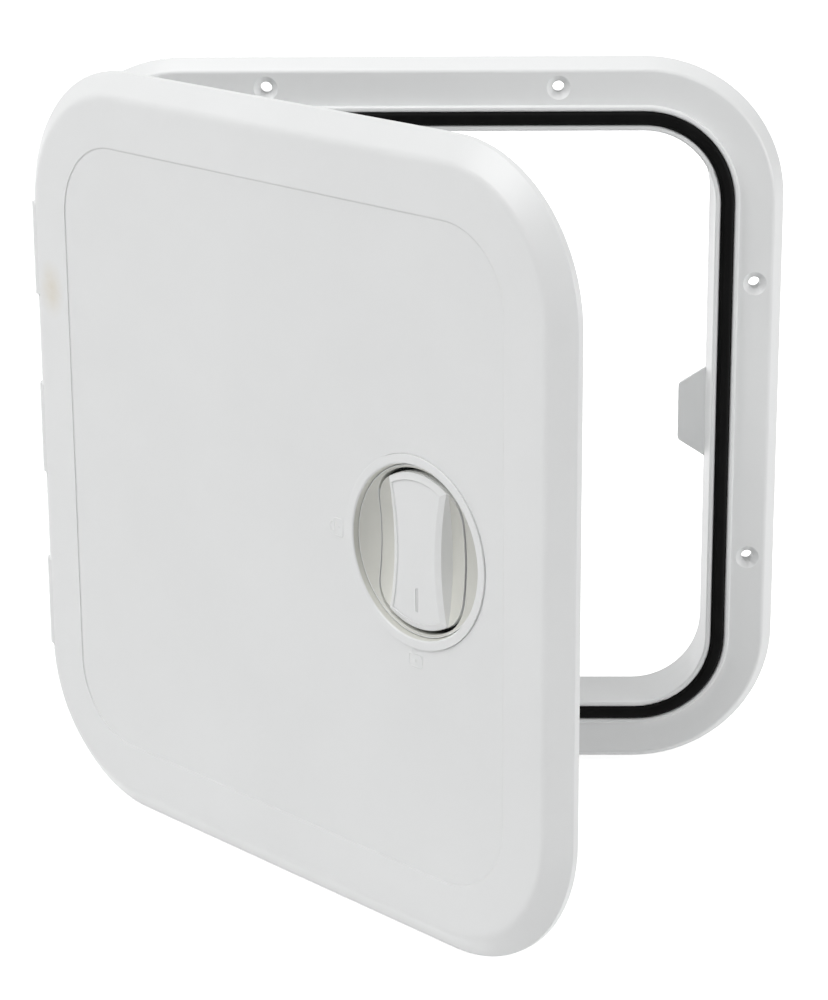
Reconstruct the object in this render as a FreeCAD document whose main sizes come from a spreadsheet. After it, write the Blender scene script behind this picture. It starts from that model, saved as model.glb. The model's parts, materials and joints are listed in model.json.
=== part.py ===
"""Access hatch: an upright surface-mounted frame with a gasket, a lid on three hinge knuckles
and a flush turning latch. The frame's mounting face is the plane y = 0, its front faces -Y and
+Z is up. The lid is modelled about the hinge axis and stands open at its rest angle."""
import FreeCAD, Part
import Sketcher
import math
import os
import re

Vector = FreeCAD.Vector
doc = FreeCAD.newDocument("access_hatch")
sheet = doc.addObject("Spreadsheet::Sheet", "sizes")

# Driving dimensions, in millimetres and degrees
SIZES = [
    # frame
    ("frame_corner", 72.0, "outside corner radius of the flange"),
    ("flange_height", 10.4, "flat face of the flange above the mounting face"),
    ("flange_edge", 0.9, "upright edge under the flange bevel"),
    ("bevel_inset", 5.5, "width of the flange bevel, seen square on"),
    ("bevel_round", 2.5, "rounding where the bevel meets the flat face"),
    ("opening_size", 304.0, "clear opening through the frame"),
    ("flange_width", 35.5, "flange from the clear opening to the outside edge"),
    ("opening_corner", 36.5, "corner radius of the clear opening"),
    ("collar_wall", 3.5, "wall of the collar that goes through the cut-out"),
    ("collar_depth", 24.0, "collar behind the mounting face"),
    ("lip_height", 3.6, "lip above the flat face"),
    ("lip_inner_wall", 2.9, "lip inside the gasket groove"),
    ("lip_outer_wall", 2.8, "lip outside the gasket groove"),
    ("lip_round", 1.1, "rounding of the lip's edges"),
    ("groove_width", 6.8, "gasket groove width"),
    ("groove_depth", 4.0, "gasket groove depth"),
    ("core_border", 7.5, "solid border left round the hollow back"),
    ("core_face", 3.2, "wall of the flat face over the hollow back"),
    ("core_band", 4.0, "solid band round the collar at the back"),
    ("back_rib", 2.0, "thickness of the ribs in the hollow back"),
    ("rib_root", 0.5, "end of a back rib inside the solid border"),
    ("hole_pitch", 146.0, "distance between the two screw holes of a side"),
    ("hole_inset", 14.3, "screw hole centre from the outside edge"),
    ("hole_bore", 6.0, "screw hole diameter"),
    ("hole_sink", 12.0, "countersink diameter"),
    ("boss_size", 13.0, "screw boss diameter at the back"),
    # striker tab
    ("tab_reach", 14.0, "striker tab into the opening"),
    ("tab_root", 48.0, "striker tab along the wall"),
    ("tab_tip", 30.0, "striker tab at its tip"),
    ("tab_thick", 2.4, "striker tab thickness"),
    ("tab_drop", 3.0, "striker tab centre below the middle"),
    ("tab_round", 3.0, "corner rounding of the tab's tip"),
    # hinge
    ("hinge_height", 14.0, "hinge axis in front of the mounting face"),
    ("hinge_inset", 0.5, "hinge axis inside the flange's outside edge"),
    ("knuckle_radius", 4.8, "hinge knuckle radius"),
    ("knuckle_length", 47.5, "hinge knuckle length"),
    ("knuckle_pitch", 94.0, "distance between hinge knuckles"),
    ("pin_diameter", 3.0, "hinge pin diameter"),
    ("pin_fit", 0.02, "pin clearance in the knuckle, on the radius"),
    ("pin_play", 0.08, "pin clearance in the lid, on the radius"),
    ("pin_grip", 8.0, "pin length inside each lid lug"),
    ("open_angle", 46.2, "lid opening at rest"),
    # gasket
    ("gasket_proud", 1.2, "gasket above the lip"),
    ("gasket_fit", 0.1, "gap between gasket and groove, each side"),
    ("gasket_round", 2.2, "rounding of the gasket's crown"),
    # lid
    ("lid_free", 2.0, "lid's free edge beyond the flange"),
    ("lid_ends", 3.0, "lid's top and bottom edges beyond the flange"),
    ("lid_corner", 75.0, "lid outline corner radius"),
    ("lid_overlap", 5.5, "lid edge beyond the hinge axis"),
    ("lid_gap", 1.0, "closed lid rim above the flange"),
    ("lid_band", 3.0, "upright edge of the lid rim"),
    ("lid_slope_depth", 8.0, "depth of the lid's sloped rim"),
    ("lid_slope_inset", 11.3, "width of the lid's sloped rim"),
    ("lid_face_round", 8.0, "rounding between slope and face"),
    ("lid_edge_round", 0.8, "rounding of the rim's outer edge"),
    ("lid_wall", 3.2, "lid wall"),
    ("panel_inset", 36.0, "recessed panel inside the lid outline"),
    ("panel_corner", 38.0, "recessed panel corner radius"),
    ("panel_depth", 0.4, "depth of the recessed panel"),
    ("notch_depth", 6.6, "hinge notch beyond the axis"),
    ("notch_play", 0.5, "gap at each end of a knuckle"),
    ("lug_length", 10.0, "lid hinge lug length"),
    ("lug_reach", 9.5, "lid hinge lug beyond the axis"),
    ("lug_skin", 1.0, "lug inside the lid's outer surface"),
    ("seal_rib", 2.2, "sealing rib thickness"),
    ("seal_play", 0.3, "closed sealing rib above the gasket"),
    ("guide_wall", 2.5, "guide wall thickness"),
    ("guide_play", 3.0, "guide wall inside the clear opening"),
    ("guide_depth", 5.0, "closed guide wall below the lip"),
    ("lid_rib", 2.2, "stiffening rib thickness"),
    ("lid_rib_depth", 5.5, "stiffening rib depth"),
    # latch
    ("latch_inset", 93.0, "latch axis from the lid's free edge"),
    ("bezel_radius", 45.3, "bezel ring outside radius"),
    ("bezel_proud", 0.5, "bezel above the lid face"),
    ("bezel_thick", 2.6, "bezel flange thickness"),
    ("cup_radius", 41.0, "finger cup radius"),
    ("cup_depth", 15.0, "finger cup below the lid face"),
    ("cup_slant", 0.8, "how far the cup's mouth leans in"),
    ("cup_wall", 1.8, "finger cup wall"),
    ("cup_floor", 3.0, "finger cup floor thickness"),
    ("cup_round", 0.5, "rounding between cup wall and floor"),
    ("cup_edge", 2.0, "rounding of the cup's back edge"),
    ("cup_play", 0.2, "gap between cup and lid hole"),
    ("seat_ring", 5.4, "thick ring of the lid round the cup"),
    ("seat_depth", 3.0, "thick ring below the lid wall"),
    ("nut_height", 6.0, "ring nut height"),
    ("nut_wall", 5.0, "ring nut wall"),
    ("hub_radius", 9.5, "shaft hub radius"),
    ("hub_end", 31.0, "end of the hub behind the hinge axis plane"),
    ("shaft_radius", 6.0, "handle shaft radius"),
    ("shaft_play", 0.08, "shaft clearance on the radius"),
    ("dial_play", 0.3, "gap between dial and cup wall"),
    ("dial_lift", 0.3, "gap between dial and cup floor"),
    ("dial_disc", 1.8, "thickness of the dial's disc"),
    ("dial_sunk", 2.4, "upper limit of the dial below the lid face"),
    ("dial_slot", 1.0, "gap between dial and grip plate"),
    ("end_slot", 1.8, "gap between dial and the grip plate's ends"),
    ("sheet_thick", 0.8, "rubber sheet under the grip plate"),
    ("sheet_play", 0.1, "gap round the rubber sheet"),
    ("sheet_lip", 6.0, "rubber lip round the grip plate above the sheet"),
    ("plate_half", 27.0, "half width of the grip plate"),
    ("plate_ledge", 0.3, "grip plate beyond the grip's ends"),
    ("plate_round", 16.0, "corner rounding of the grip plate"),
    ("plate_proud", 0.5, "grip plate's dish above that of the dial"),
    ("dish_radius", 120.0, "radius of the dish that holds the fingers"),
    ("dish_depth", 8.6, "depth of the dish below the lid face"),
    ("grip_sunk", 0.9, "top of the grip below the lid face"),
    ("grip_waist", 12.3, "half width of the grip top at its waist"),
    ("grip_width", 15.8, "half width of the grip top at its ends"),
    ("grip_radius", 33.4, "radius of the grip top's ends"),
    ("grip_border", 3.0, "width of the grip's sloped border"),
    ("grip_border_depth", 1.2, "depth of the grip's sloped border"),
    ("grip_flare", 3.6, "how far the grip's sides spread to the plate"),
    ("grip_root", 0.5, "foot of the grip above the plate's underside"),
    ("pointer_width", 0.8, "width of the pointer groove"),
    ("pointer_length", 10.5, "length of the pointer groove"),
    ("pointer_inset", 5.5, "pointer groove from the grip's end"),
    ("pointer_depth", 0.4, "depth of the pointer groove"),
    ("ring_section", 1.4, "shaft seal ring section"),
    ("ring_play", 0.05, "gap round the shaft seal ring"),
    ("ring_place", 16.0, "shaft seal ring behind the hinge axis plane"),
    ("spring_thick", 1.2, "spring washer height"),
    ("square_size", 8.0, "drive square of the shaft"),
    ("square_fit", 0.05, "gap between square and cam, each side"),
    ("cam_reach", 50.0, "cam tip from the latch axis"),
    ("cam_root", 18.0, "cam width at the hub"),
    ("cam_tip", 13.0, "cam width near its tip"),
    ("cam_thick", 3.4, "cam plate thickness"),
    ("cam_play", 0.6, "gap between cam and striker tab when shut"),
    ("washer_radius", 7.5, "cam washer radius"),
    ("washer_thick", 1.2, "cam washer thickness"),
    ("screw_diameter", 5.0, "cam screw diameter"),
    ("screw_length", 14.0, "cam screw length under its head"),
    ("screw_head", 9.5, "cam screw head diameter"),
    ("screw_head_height", 3.0, "cam screw head height"),
    ("shaft_short", 0.3, "shaft end inside the cam"),
]
for row, (alias, number, note) in enumerate(SIZES, start=1):
    sheet.set("A%d" % row, note)
    sheet.set("B%d" % row, str(number))
    sheet.setAlias("B%d" % row, alias)
doc.recompute()

ALIAS = re.compile(r"\b(%s)\b" % "|".join(name for name, number, note in SIZES))

# Sizes that several pieces share, worked out from the driving dimensions
LIP_TOP = "(flange_height + lip_height)"
FRAME = "(opening_size + 2 * flange_width)"
OPEN_HALF = "(opening_size / 2)"
GROOVE_IN = "(opening_size / 2 + lip_inner_wall)"
GROOVE_OUT = "(opening_size / 2 + lip_inner_wall + groove_width)"
AXIS_X = "(hinge_inset - %s / 2)" % FRAME
RIM_Y = "(hinge_height - flange_height - lid_gap)"
LID_DEPTH = "(lid_band + lid_slope_depth)"
FACE = "(lid_band + lid_slope_depth - hinge_height + flange_height + lid_gap)"
CENTRE = "(%s / 2 - hinge_inset)" % FRAME
LID_END = "(%s - hinge_inset + lid_free)" % FRAME
LATCH = "(%s - latch_inset)" % LID_END
CUP_FLOOR = "(cup_depth - %s)" % FACE
CUP_OUT = "(cup_radius - cup_slant + cup_wall)"
CUP_INSIDE = "(cup_radius - cup_slant)"
DIAL_LOW = "(%s - cup_depth + dial_lift)" % FACE
DIAL_FLOOR = "(%s - cup_depth + dial_lift + dial_disc)" % FACE
DIAL_RADIUS = "(%s - dial_play)" % CUP_INSIDE
SHEET_TOP = "(%s - cup_depth + dial_lift + dial_disc + sheet_thick)" % FACE
DIAL_TOP = "(%s - dial_sunk)" % FACE
PLATE_RADIUS = "(grip_radius + grip_border + plate_ledge)"
SEAT = "(lid_wall + seat_depth - %s)" % FACE
CAM_FRONT = "(hinge_height + collar_depth + cam_play)"
CAM_BACK = "(hinge_height + collar_depth + cam_play + cam_thick)"
HOLE_HALF = "(%s / 2 - hole_inset)" % FRAME
CORNER_CORE = "(frame_corner - core_border)"


def linked(text):
    """The same expression with every size written as a cell of the sheet."""
    return ALIAS.sub(r"sizes.\1", text)


def value(text):
    """The number that an expression of sizes has now."""
    return float(sheet.evalExpression(linked(text)))


def bind(item, prop, text):
    item.setExpression(prop, linked(text))


def settle(item):
    """Recompute, and stop at a feature that failed."""
    doc.recompute()
    if "Invalid" in item.State or "Error" in item.State:
        raise RuntimeError("%s failed: %s" % (item.Name, item.getStatusString()))


def new_body(name):
    body = doc.addObject("PartDesign::Body", name)
    body.Label = name
    return body


def new_sketch(body, name, role, offset=None):
    """A sketch on one of the body's own origin planes, moved along the plane's normal."""
    item = body.newObject("Sketcher::SketchObject", name)
    support = [part for part in body.Origin.OriginFeatures if part.Role == role]
    item.AttachmentSupport = [(support[0], "")]
    item.MapMode = "FlatFace"
    if offset:
        bind(item, "AttachmentOffset.Base.z", offset)
    return item


def dimension(item, kind, text, *where):
    """Add a sketch dimension that follows an expression."""
    index = item.addConstraint(Sketcher.Constraint(kind, *where, value(text)))
    item.renameConstraint(index, "size%d" % index)
    bind(item, "Constraints.size%d" % index, text)


def set_place(item, axis, geometry, point, text):
    """Set a point's distance from the sketch origin along one axis, on either side of it."""
    if value(text) >= 0:
        dimension(item, "Distance" + axis, text, -1, 1, geometry, point)
    else:
        dimension(item, "Distance" + axis, "-(%s)" % text, geometry, point, -1, 1)


def arc(item, x, y, radius, first, last):
    """An arc about a spot, between two angles."""
    round_line = Part.Circle(Vector(x, y, 0), Vector(0, 0, 1), radius)
    return item.addGeometry(Part.ArcOfCircle(round_line, first, last))


def rounded_rectangle(item, left, right, bottom, top, radius):
    """A rectangle with round corners; the four sides are signed places."""
    x0, x1, y0, y1, r = [value(text) for text in (left, right, bottom, top, radius)]
    corners = [(x1 - r, y1 - r, 0), (x0 + r, y1 - r, 90), (x0 + r, y0 + r, 180), (x1 - r, y0 + r, 270)]
    arcs = []
    for x, y, start in corners:
        first = math.radians(start)
        arcs.append(arc(item, x, y, r, first, first + math.pi / 2))
    lines = []
    for number in range(4):
        a = item.getPoint(arcs[number], 2)
        b = item.getPoint(arcs[(number + 1) % 4], 1)
        lines.append(item.addGeometry(Part.LineSegment(a, b)))
    for number in range(4):
        item.addConstraint(Sketcher.Constraint("Tangent", arcs[number], 2, lines[number], 1))
        item.addConstraint(Sketcher.Constraint("Tangent", lines[number], 2, arcs[(number + 1) % 4], 1))
    for number in range(1, 4):
        item.addConstraint(Sketcher.Constraint("Equal", arcs[0], arcs[number]))
    item.addConstraint(Sketcher.Constraint("Horizontal", lines[0]))
    item.addConstraint(Sketcher.Constraint("Vertical", lines[1]))
    item.addConstraint(Sketcher.Constraint("Horizontal", lines[2]))
    item.addConstraint(Sketcher.Constraint("Vertical", lines[3]))
    dimension(item, "Radius", radius, arcs[0])
    set_place(item, "Y", lines[0], 1, top)
    set_place(item, "X", lines[1], 1, left)
    set_place(item, "Y", lines[2], 1, bottom)
    set_place(item, "X", lines[3], 1, right)


def centred_square(item, half, radius):
    rounded_rectangle(item, "-" + half, half, "-" + half, half, radius)


def lid_square(item, inset, radius):
    """A rounded rectangle inside the lid outline by an inset."""
    side = "(%s / 2 + lid_ends - (%s))" % (FRAME, inset)
    left = "((%s) - lid_overlap)" % inset
    right = "(%s - (%s))" % (LID_END, inset)
    rounded_rectangle(item, left, right, "-" + side, side, radius)


def opening_square(item, half, radius):
    """A rounded square on the frame's centre, in the lid's own axes."""
    left, right = "(%s - %s)" % (CENTRE, half), "(%s + %s)" % (CENTRE, half)
    rounded_rectangle(item, left, right, "-" + half, half, radius)


def polygon(item, points):
    """A closed polygon whose corners are pairs of signed places."""
    spots = [Vector(value(x), value(y), 0) for x, y in points]
    count = len(spots)
    lines = []
    for number in range(count):
        lines.append(item.addGeometry(Part.LineSegment(spots[number], spots[(number + 1) % count])))
    for number in range(count):
        following = lines[(number + 1) % count]
        item.addConstraint(Sketcher.Constraint("Coincident", lines[number], 2, following, 1))
    for number, (x, y) in enumerate(points):
        set_place(item, "X", lines[number], 1, x)
        set_place(item, "Y", lines[number], 1, y)


def circle(item, x, y, radius):
    """A circle at a signed place; a plain "0" puts it on the origin's axis."""
    spot = Vector(value(x), value(y), 0)
    index = item.addGeometry(Part.Circle(spot, Vector(0, 0, 1), value(radius)))
    dimension(item, "Radius", radius, index)
    set_place(item, "X", index, 3, x)
    set_place(item, "Y", index, 3, y)


def bow_tie(item, waist, width, radius):
    """The grip's outline: two end arcs about the origin and two hollow sides."""
    w, e, r = value(waist), value(width), value(radius)
    z = math.sqrt(r * r - e * e)
    side_text = "(((%s)^2 - (%s)^2) / (2 * ((%s) - (%s))) - (%s))" % (radius, waist, width, waist, waist)
    side = value(side_text)
    rise = math.atan2(z, e)
    top = arc(item, 0, 0, r, rise, math.pi - rise)
    low = arc(item, 0, 0, r, math.pi + rise, 2 * math.pi - rise)
    turn = math.asin(z / side)
    left = arc(item, -w - side, 0, side, -turn, turn)
    right = arc(item, w + side, 0, side, math.pi - turn, math.pi + turn)
    joints = [(top, 1, right, 1), (top, 2, left, 2), (low, 1, left, 1), (low, 2, right, 2)]
    for first, first_end, second, second_end in joints:
        item.addConstraint(Sketcher.Constraint("Coincident", first, first_end, second, second_end))
    item.addConstraint(Sketcher.Constraint("Coincident", top, 3, -1, 1))
    item.addConstraint(Sketcher.Constraint("Coincident", low, 3, -1, 1))
    item.addConstraint(Sketcher.Constraint("PointOnObject", left, 3, -1))
    item.addConstraint(Sketcher.Constraint("PointOnObject", right, 3, -1))
    dimension(item, "Radius", radius, top)
    item.addConstraint(Sketcher.Constraint("Equal", top, low))
    dimension(item, "Radius", side_text, right)
    item.addConstraint(Sketcher.Constraint("Equal", left, right))
    set_place(item, "X", top, 1, width)
    set_place(item, "X", top, 2, "-(%s)" % width)


def pad(body, item, length, reverse=False):
    feature = body.newObject("PartDesign::Pad", item.Name + "_pad")
    feature.Profile = item
    feature.Reversed = reverse
    bind(feature, "Length", length)
    settle(feature)
    return feature


def cut(body, item, length, reverse=False):
    """A pocket, checked against the volume before it."""
    before = body.Shape.Volume
    feature = body.newObject("PartDesign::Pocket", item.Name + "_cut")
    feature.Profile = item
    feature.Reversed = reverse
    bind(feature, "Length", length)
    settle(feature)
    if not body.Shape.Volume < before:
        raise RuntimeError(item.Name + " cuts nothing")
    return feature


def row(body, feature, item, axis, length, count):
    """Copies of a feature along an axis of its sketch."""
    copies = body.newObject("PartDesign::LinearPattern", feature.Name + "_row")
    copies.Originals = [feature]
    copies.Direction = (item, [axis])
    copies.Occurrences = count
    bind(copies, "Length", length)
    body.Tip = copies
    settle(copies)
    return copies


def edges_where(body, test):
    """Names of the body's edges whose middle point passes a test."""
    names = []
    for number, edge in enumerate(body.Shape.Edges, start=1):
        middle = edge.valueAt((edge.FirstParameter + edge.LastParameter) / 2)
        if test(middle, edge):
            names.append("Edge%d" % number)
    if not names:
        raise RuntimeError("no edge found on " + body.Name)
    return names


def ring_edges(body, height, radius):
    """The names of the body's edges at a height on a circle about the latch axis."""
    y, r = value(height), value(radius)
    return edges_where(body, lambda spot, edge: near(spot.y, y) and near(math.hypot(spot.x, spot.z), r))


def fillet(body, names, radius):
    base = body.Tip
    feature = body.newObject("PartDesign::Fillet", "round")
    feature.Base = (base, names)
    bind(feature, "Radius", radius)
    body.Tip = feature
    settle(feature)
    return feature


def chamfer(body, names, size):
    base = body.Tip
    feature = body.newObject("PartDesign::Chamfer", "edge_bevel")
    feature.Base = (base, names)
    bind(feature, "Size", size)
    body.Tip = feature
    settle(feature)
    return feature


def slope_edges(body, names, inset, depth, flip):
    """A bevel with its own width and depth."""
    base = body.Tip
    feature = body.newObject("PartDesign::Chamfer", "slope")
    feature.Base = (base, names)
    feature.ChamferType = "Two distances"
    feature.FlipDirection = flip
    bind(feature, "Size", inset)
    bind(feature, "Size2", depth)
    body.Tip = feature
    settle(feature)
    return feature


def near(a, b):
    return abs(a - b) < 0.01


def loft(body, first, others, cutting=False):
    kind = "PartDesign::SubtractiveLoft" if cutting else "PartDesign::AdditiveLoft"
    feature = body.newObject(kind, first.Name + "_loft")
    feature.Profile = first
    feature.Sections = others
    feature.Ruled = True
    settle(feature)
    return feature


def turned(body, name, points):
    """A piece turned about the Y axis from corners given as radius and place along Y."""
    item = new_sketch(body, name, "XY_Plane")
    polygon(item, points)
    feature = body.newObject("PartDesign::Revolution", name + "_turn")
    feature.Profile = item
    feature.ReferenceAxis = (item, ["V_Axis"])
    feature.Angle = 360
    settle(feature)
    return feature


def hang_on_lid(body, along="0"):
    """Stand a piece of the lid on the hinge axis, turned to the rest angle."""
    bind(body, "Placement.Base.x", "%s + (%s) * cos(open_angle)" % (AXIS_X, along))
    bind(body, "Placement.Base.y", "-hinge_height - (%s) * sin(open_angle)" % along)
    bind(body, "Placement.Rotation.Angle", "-open_angle")


def make_frame():
    """Flange, lip with gasket groove, collar, striker tab and hinge knuckles, one moulding."""
    body = new_body("frame")
    outline = new_sketch(body, "flange", "XZ_Plane")
    centred_square(outline, "(%s / 2)" % FRAME, "frame_corner")
    pad(body, outline, "flange_height")
    front = -value("flange_height")
    names = edges_where(body, lambda spot, edge: near(spot.y, front))
    slope_edges(body, names, "bevel_inset", "flange_height - flange_edge", True)
    names = edges_where(body, lambda spot, edge: near(spot.y, front))
    fillet(body, names, "bevel_round")

    knuckle = new_sketch(body, "knuckle", "XY_Plane", "(-knuckle_pitch - knuckle_length / 2)")
    knuckle_outline(knuckle)
    feature = pad(body, knuckle, "knuckle_length")
    row(body, feature, knuckle, "N_Axis", "2 * knuckle_pitch", 3)

    core = new_sketch(body, "back_core", "XZ_Plane")
    centred_square(core, "(%s / 2 - core_border)" % FRAME, CORNER_CORE)
    cut(body, core, "flange_height - core_face", reverse=True)
    band = new_sketch(body, "collar_band", "XZ_Plane")
    centred_square(band, "(opening_size / 2 + collar_wall + core_band)",
                   "(opening_corner + collar_wall + core_band)")
    pad(body, band, "flange_height - core_face / 2")
    for name, axis, flat in (("rib_across", "V_Axis", True), ("rib_upright", "H_Axis", False)):
        rib = new_sketch(body, name, "XZ_Plane")
        reach = "(%s / 2 - core_border + rib_root)" % FRAME
        low, high = "(-hole_pitch * 3 / 4 - back_rib / 2)", "(-hole_pitch * 3 / 4 + back_rib / 2)"
        corners = [("-" + reach, low), (reach, low), (reach, high), ("-" + reach, high)]
        if not flat:
            corners = [(y, x) for x, y in corners]
        polygon(rib, corners)
        feature = pad(body, rib, "flange_height - core_face / 2")
        row(body, feature, rib, axis, "hole_pitch * 3 / 2", 7)
    bosses = new_sketch(body, "screw_bosses", "XZ_Plane")
    spots = screw_places()
    for x, z in spots:
        circle(bosses, x, z, "(boss_size / 2)")
    pad(body, bosses, "flange_height - core_face / 2")

    lip = new_sketch(body, "lip", "XZ_Plane")
    lip_grow = "lip_inner_wall + groove_width + lip_outer_wall"
    centred_square(lip, "(opening_size / 2 + %s)" % lip_grow, "(opening_corner + %s)" % lip_grow)
    pad(body, lip, LIP_TOP)
    collar = new_sketch(body, "collar", "XZ_Plane")
    centred_square(collar, "(opening_size / 2 + collar_wall)", "(opening_corner + collar_wall)")
    pad(body, collar, "collar_depth", reverse=True)
    opening = new_sketch(body, "opening", "XZ_Plane", LIP_TOP)
    centred_square(opening, OPEN_HALF, "opening_corner")
    cut(body, opening, LIP_TOP + " + collar_depth")
    groove = new_sketch(body, "gasket_groove", "XZ_Plane", LIP_TOP)
    centred_square(groove, GROOVE_OUT, "(opening_corner + lip_inner_wall + groove_width)")
    centred_square(groove, GROOVE_IN, "(opening_corner + lip_inner_wall)")
    cut(body, groove, "groove_depth")
    top, reach = -value(LIP_TOP), value("opening_size / 2 + " + lip_grow)
    names = edges_where(body, lambda spot, edge: near(spot.y, top)
                        and max(abs(spot.x), abs(spot.z)) < reach + 0.01)
    fillet(body, names, "lip_round")

    holes = new_sketch(body, "screw_holes", "XZ_Plane", "flange_height")
    for x, z in spots:
        circle(holes, x, z, "(hole_bore / 2)")
    cut(body, holes, "flange_height")
    names = edges_where(body, lambda spot, edge: near(spot.y, front)
                        and edge.Curve.TypeId == "Part::GeomCircle"
                        and near(edge.Curve.Radius, value("hole_bore / 2")))
    chamfer(body, names, "(hole_sink - hole_bore) / 2")

    tab = new_sketch(body, "striker_tab", "XZ_Plane", "-collar_depth")
    wall, tip = "(opening_size / 2 + collar_wall / 2)", "(opening_size / 2 - tab_reach)"
    slant = "((tab_root - tab_tip) / 2 * (1 + collar_wall / 2 / tab_reach))"
    polygon(tab, [(wall, "(-tab_drop - tab_tip / 2 - %s)" % slant),
                  (wall, "(tab_tip / 2 + %s - tab_drop)" % slant),
                  (tip, "(tab_tip / 2 - tab_drop)"), (tip, "(-tab_tip / 2 - tab_drop)")])
    pad(body, tab, "tab_thick")
    tip_x = value(tip)
    names = edges_where(body, lambda spot, edge: near(spot.x, tip_x)
                        and near(edge.Length, value("tab_thick")))
    fillet(body, names, "tab_round")

    bore = new_sketch(body, "pin_bore", "XY_Plane", "(-%s / 2)" % FRAME)
    circle(bore, AXIS_X, "-hinge_height", "(pin_diameter / 2 + pin_fit)")
    cut(body, bore, FRAME, reverse=True)
    return body


def screw_places():
    """The eight screw holes, two to a side."""
    spots = []
    for side in ("", "-"):
        for step in ("", "-"):
            spots.append((side + HOLE_HALF, step + "(hole_pitch / 2)"))
            spots.append((step + "(hole_pitch / 2)", side + HOLE_HALF))
    return spots


def knuckle_outline(item):
    """A barrel on a foot that runs down into the flange's border."""
    x, y, r = value(AXIS_X), -value("hinge_height"), value("knuckle_radius")
    foot = value("flange_edge * 1.5")
    barrel = arc(item, x, y, r, math.pi, 2 * math.pi)
    heel = value("flange_edge - %s / 2" % FRAME)
    spots = [Vector(x + r, y, 0), Vector(x + r, -foot, 0), Vector(heel, -foot, 0), Vector(x - r, y, 0)]
    sides = [item.addGeometry(Part.LineSegment(spots[n], spots[n + 1])) for n in range(3)]
    item.addConstraint(Sketcher.Constraint("Coincident", barrel, 2, sides[0], 1))
    item.addConstraint(Sketcher.Constraint("Coincident", sides[0], 2, sides[1], 1))
    item.addConstraint(Sketcher.Constraint("Coincident", sides[1], 2, sides[2], 1))
    item.addConstraint(Sketcher.Constraint("Coincident", sides[2], 2, barrel, 1))
    item.addConstraint(Sketcher.Constraint("Vertical", sides[0]))
    item.addConstraint(Sketcher.Constraint("Horizontal", sides[1]))
    dimension(item, "Radius", "knuckle_radius", barrel)
    set_place(item, "X", barrel, 3, AXIS_X)
    set_place(item, "Y", barrel, 3, "-hinge_height")
    set_place(item, "Y", barrel, 1, "-hinge_height")
    set_place(item, "Y", barrel, 2, "-hinge_height")
    set_place(item, "Y", sides[1], 1, "(-flange_edge * 1.5)")
    set_place(item, "X", sides[2], 1, "(flange_edge - %s / 2)" % FRAME)


def make_gasket():
    body = new_body("frame_gasket")
    ring = new_sketch(body, "gasket_ring", "XZ_Plane", LIP_TOP + " - groove_depth")
    centred_square(ring, "(opening_size / 2 + lip_inner_wall + groove_width - gasket_fit)",
                   "(opening_corner + lip_inner_wall + groove_width - gasket_fit)")
    centred_square(ring, "(opening_size / 2 + lip_inner_wall + gasket_fit)",
                   "(opening_corner + lip_inner_wall + gasket_fit)")
    pad(body, ring, "groove_depth + gasket_proud")
    crown = -value(LIP_TOP + " + gasket_proud")
    names = edges_where(body, lambda spot, edge: near(spot.y, crown))
    fillet(body, names, "gasket_round")
    return body


def make_pin(name, place):
    """A hinge pin through one knuckle into the lid lugs at both ends."""
    body = new_body(name)
    length = "(knuckle_length + 2 * notch_play + 2 * pin_grip)"
    low_end = "(%s * knuckle_pitch - %s / 2)" % (place, length)
    outline = new_sketch(body, name + "_round", "XY_Plane", low_end)
    circle(outline, AXIS_X, "-hinge_height", "(pin_diameter / 2)")
    pad(body, outline, length)
    ends = edges_where(body, lambda spot, edge: edge.Curve.TypeId == "Part::GeomCircle")
    chamfer(body, ends, "pin_diameter / 8")
    return body


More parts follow.
